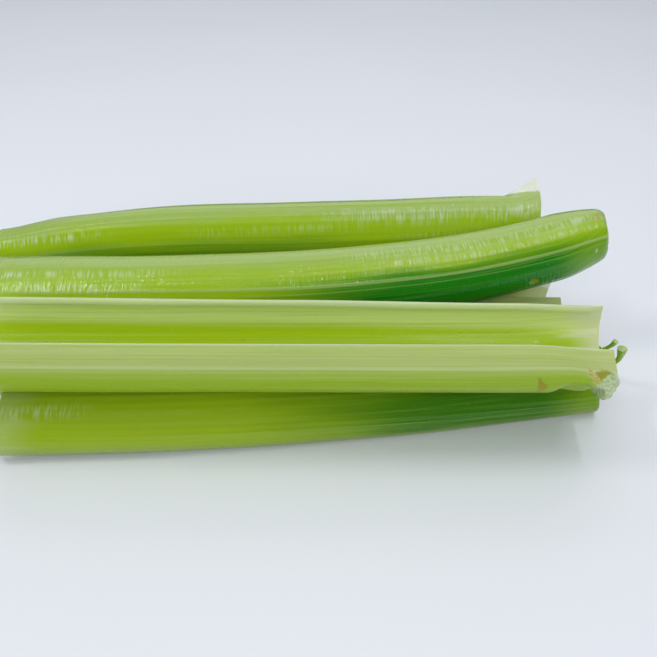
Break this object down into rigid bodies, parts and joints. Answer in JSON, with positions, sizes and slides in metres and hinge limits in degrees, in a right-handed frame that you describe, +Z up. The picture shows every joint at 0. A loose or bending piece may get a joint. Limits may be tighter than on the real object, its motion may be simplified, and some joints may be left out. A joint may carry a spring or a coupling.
{
  "type": "celery stalks",
  "caption": "Head of celery taken apart: trimmed, ribbed stalks with open channels, heaped in two layers on a flat surface.",
  "frame": {"origin": "middle of the heap's footprint, on the surface that it lies on", "axes": "+X along the stalks, +Y from the front stalk to the back stalk, +Z up"},
  "size_m": [0.275, 0.1478, 0.0651],
  "materials": {
    "pale_green_stalk": "moist pale yellow-green celery, ribbed outside, smooth channel",
    "green_stalk": "moist green celery, ribbed outside, paler at the base",
    "deep_green_stalk": "moist deep green celery, ribbed outside"
  },
  "bodies": {
    "root": {"front_stalk": "pale_green_stalk", "curved_stalk": "green_stalk", "back_stalk": "green_stalk", "lower_front_stalk": "deep_green_stalk", "leafy_end_stalk": "deep_green_stalk", "under_stalk": "pale_green_stalk", "rear_lower_stalk": "green_stalk"}
  },
  "joints": []
}
